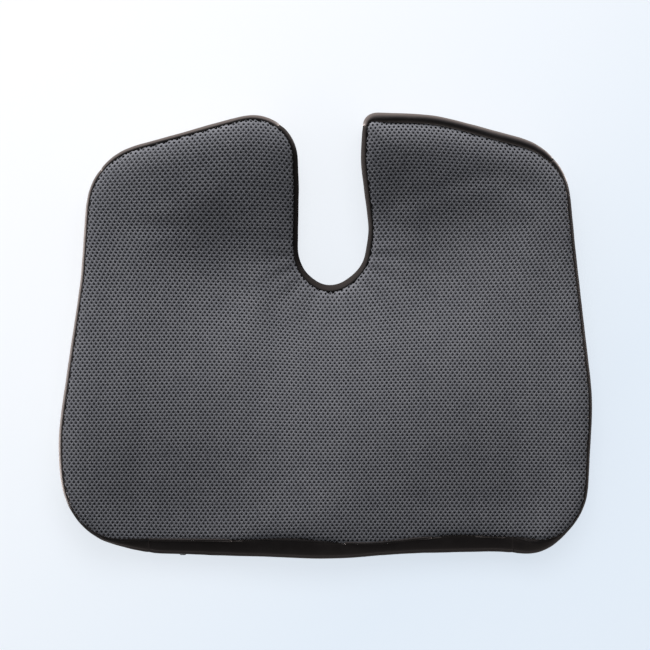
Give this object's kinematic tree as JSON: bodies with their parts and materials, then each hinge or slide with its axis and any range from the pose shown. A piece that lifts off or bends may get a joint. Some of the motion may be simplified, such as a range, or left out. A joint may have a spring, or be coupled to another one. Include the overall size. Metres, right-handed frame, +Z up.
{
  "type": "seat cushion",
  "caption": "Contoured memory-foam seat cushion with a coccyx notch, an air-mesh top, a plush side band and a zipped cover with a non-slip base.",
  "frame": {"origin": "middle of the cushion's box, on the surface it lies on", "axes": "+Z up, +Y to the rear where the notch opens, -Y to the knees, +X along the width"},
  "size_m": [0.45, 0.376, 0.0675],
  "materials": {
    "memory_foam": "matte open-cell foam",
    "air_mesh": "dark grey knitted air mesh with small open holes",
    "base_fabric": "matte black woven",
    "grip_rubber": "satin dots",
    "plush": "black short-pile plush",
    "zip_tape": "matte woven tape",
    "zip_coil": "satin nylon coil",
    "zip_metal": "black enamelled metal"
  },
  "bodies": {
    "cushion": {"foam_core": "memory_foam", "top_panel": "air_mesh", "bottom_panel": "base_fabric", "grip_dots": "grip_rubber", "side_band_left": "plush", "side_band_right": "plush", "rear_band_left": "plush", "rear_band_right": "plush", "notch_band": "plush", "front_band_upper": "plush", "front_band_lower": "plush", "zip_tape_upper": "zip_tape", "zip_tape_lower": "zip_tape", "zip_coil_upper": "zip_coil", "zip_coil_lower": "zip_coil", "zip_top_stops": "zip_metal", "zip_bottom_stop": "zip_metal"},
    "slider": {"zip_slider": "zip_metal"},
    "tab": {"pull_tab": "zip_metal"}
  },
  "joints": [
    {"name": "zip_slide", "type": "slide", "parent": "cushion", "child": "slider", "axis": [1, 0, 0], "range_m": [0, 0.25]},
    {"name": "pull_tab_swing", "type": "hinge", "parent": "slider", "child": "tab", "pos_m": [-0.12098, -0.18465, 0.014], "axis": [0, 0, -1], "range_deg": [0, 150]}
  ]
}
